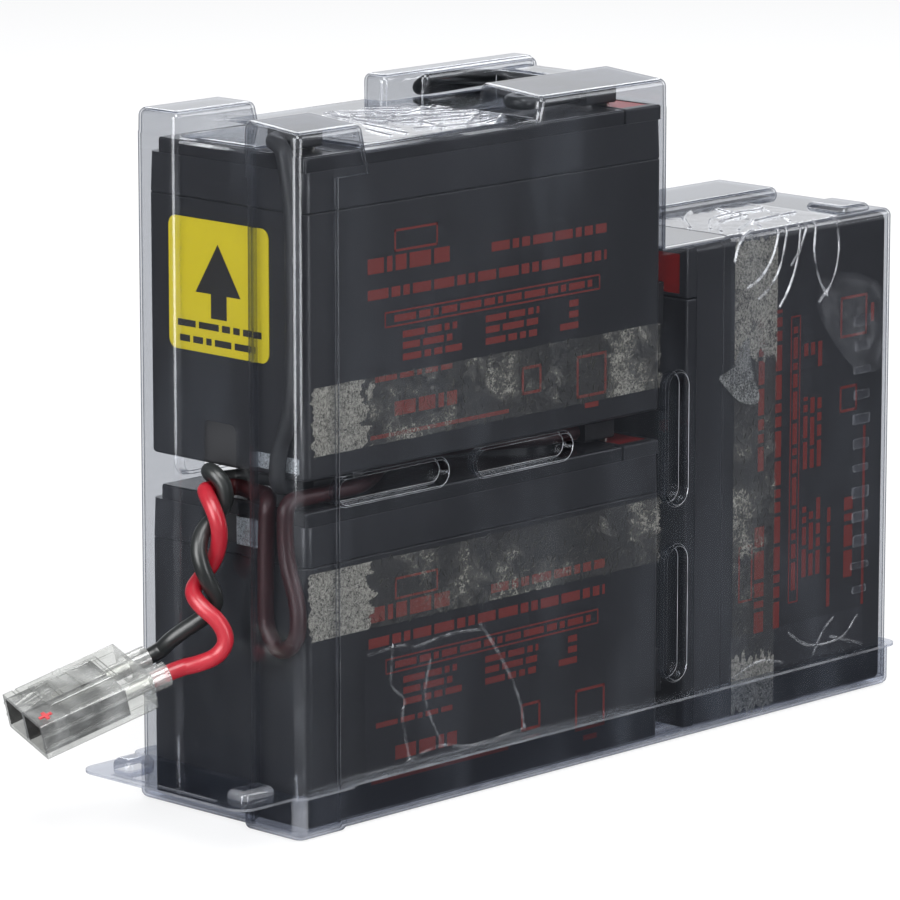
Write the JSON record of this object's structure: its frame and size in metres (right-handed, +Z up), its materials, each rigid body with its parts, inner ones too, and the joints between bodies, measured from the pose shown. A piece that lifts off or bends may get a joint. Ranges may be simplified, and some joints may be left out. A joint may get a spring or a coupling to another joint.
{
  "type": "ups battery cartridge",
  "caption": "Stepped battery cartridge: sealed batteries in a clear formed shell, with twisted red and black leads ending in a clear connector.",
  "frame": {"origin": "middle of the pack's footprint, on the underside of the tray", "axes": "+X along the pack from the end with the leads to the low end, +Y from the front face with the tape strips to the back, +Z up"},
  "size_m": [0.3282, 0.0762, 0.2071],
  "materials": {
    "clear_film": "thin clear thermoformed film with bluish grey edges",
    "clear_tape": "clear wrinkled sealing tape",
    "connector_clear": "clear moulded polycarbonate",
    "case_plastic": "fine-textured charcoal moulded plastic with a soft shine",
    "cover_plastic": "smooth charcoal moulded plastic",
    "terminal_red": "red moulded terminal base",
    "terminal_black": "black moulded terminal base",
    "tab_metal": "tin-plated tab",
    "contact_metal": "plated contact",
    "sleeve_plastic": "black insulating sleeve",
    "red_wire": "red flexible wire insulation",
    "black_wire": "black flexible wire insulation",
    "yellow_label": "yellow label with a dark up arrow",
    "grey_patch": "pale grey fibrous tape",
    "fibre_tape": "grey fibrous adhesive tape"
  },
  "bodies": {
    "root": {"hood": "clear_film", "tray": "clear_film", "connector_housing": "connector_clear", "left_top_tape": "clear_tape", "right_top_tape": "clear_tape", "red_lead": "red_wire", "black_lead": "black_wire", "red_inner_lead": "red_wire", "black_inner_lead": "black_wire", "lower_right_jumper": "black_wire", "right_upper_jumper": "black_wire", "orientation_label": "yellow_label", "lower_end_patch": "grey_patch", "upper_end_patch": "grey_patch", "upper_front_tape": "fibre_tape", "lower_front_tape": "fibre_tape", "right_front_tape": "fibre_tape", "red_contact": "contact_metal", "black_contact": "contact_metal", "left_foot_tape": "clear_tape", "right_foot_tape": "clear_tape", "positive_mark": "terminal_red", "lower_battery_case": "case_plastic", "lower_battery_lid": "case_plastic", "lower_vent_cover": "cover_plastic", "lower_positive_base": "terminal_red", "lower_positive_tab": "tab_metal", "lower_positive_sleeve": "sleeve_plastic", "lower_negative_base": "terminal_black", "lower_negative_tab": "tab_metal", "lower_negative_sleeve": "sleeve_plastic", "upper_battery_case": "case_plastic", "upper_battery_lid": "case_plastic", "upper_vent_cover": "cover_plastic", "upper_positive_base": "terminal_red", "upper_positive_tab": "tab_metal", "upper_positive_sleeve": "sleeve_plastic", "upper_negative_base": "terminal_black", "upper_negative_tab": "tab_metal", "upper_negative_sleeve": "sleeve_plastic", "right_battery_case": "case_plastic", "right_battery_lid": "case_plastic", "right_vent_cover": "cover_plastic", "right_positive_base": "terminal_red", "right_positive_tab": "tab_metal", "right_positive_sleeve": "sleeve_plastic", "right_negative_base": "terminal_black", "right_negative_tab": "tab_metal", "right_negative_sleeve": "sleeve_plastic"}
  },
  "joints": []
}
